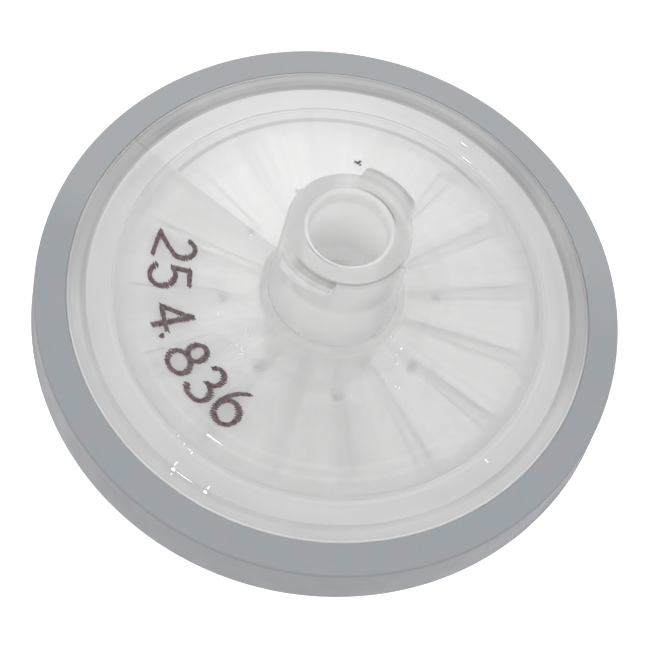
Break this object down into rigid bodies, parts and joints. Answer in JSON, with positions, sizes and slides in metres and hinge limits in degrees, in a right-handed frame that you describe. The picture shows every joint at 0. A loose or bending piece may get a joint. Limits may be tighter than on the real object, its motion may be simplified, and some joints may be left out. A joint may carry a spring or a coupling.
{
  "type": "syringe filter",
  "caption": "Round disposable syringe filter: a glass-fibre disc sealed between two plastic halves in an overmoulded band, with a luer lock inlet and a luer slip outlet.",
  "frame": {"origin": "centre of the inlet socket's rim", "axes": "+Z out of the inlet along the filter's axis, +X through the middle of one locking lug"},
  "size_m": [0.0338, 0.0338, 0.0179],
  "materials": {
    "housing": "glossy, slightly frosted natural polypropylene",
    "disc": "matt white glass-fibre felt",
    "band": "semi-gloss grey plastic"
  },
  "bodies": {
    "root": {"inlet_housing": "housing", "outlet_housing": "housing", "filter_disc": "disc", "overmould_band": "band"}
  },
  "joints": []
}
